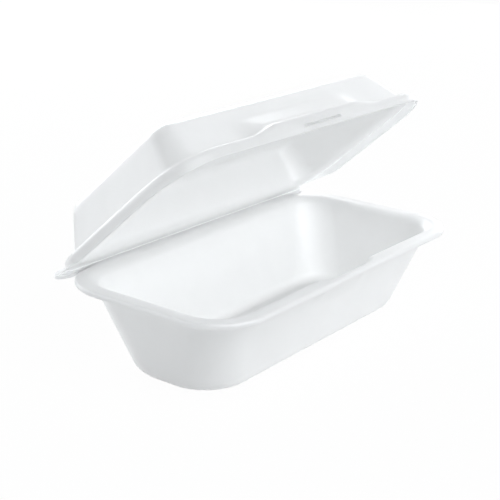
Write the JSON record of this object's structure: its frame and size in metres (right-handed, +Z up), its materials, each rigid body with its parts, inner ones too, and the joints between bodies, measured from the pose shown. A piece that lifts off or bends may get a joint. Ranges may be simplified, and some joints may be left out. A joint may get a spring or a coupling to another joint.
{
  "type": "foam hoagie container",
  "caption": "Long hinged foam take-out box: tapered tray with rounded corners, domed lid on a living hinge along the back, rolled rims and a front snap lock.",
  "frame": {"origin": "centre of the tray's flat underside, on the table", "axes": "+X along the length, -Y to the front with the lock, +Y to the hinge, +Z up"},
  "size_m": [0.25, 0.1299, 0.1467],
  "materials": {
    "tray_foam": "matte extruded foam sheet with a fine cell grain",
    "lid_foam": "matte extruded foam sheet with a fine cell grain"
  },
  "bodies": {
    "tray": {"base_tray": "tray_foam"},
    "lid": {"lid": "lid_foam"}
  },
  "joints": [
    {"name": "lid_hinge", "type": "hinge", "parent": "tray", "child": "lid", "pos_m": [0, 0.0627, 0.05455], "axis": [-1, 0, 0], "range_deg": [-41.5, 138.5]}
  ]
}
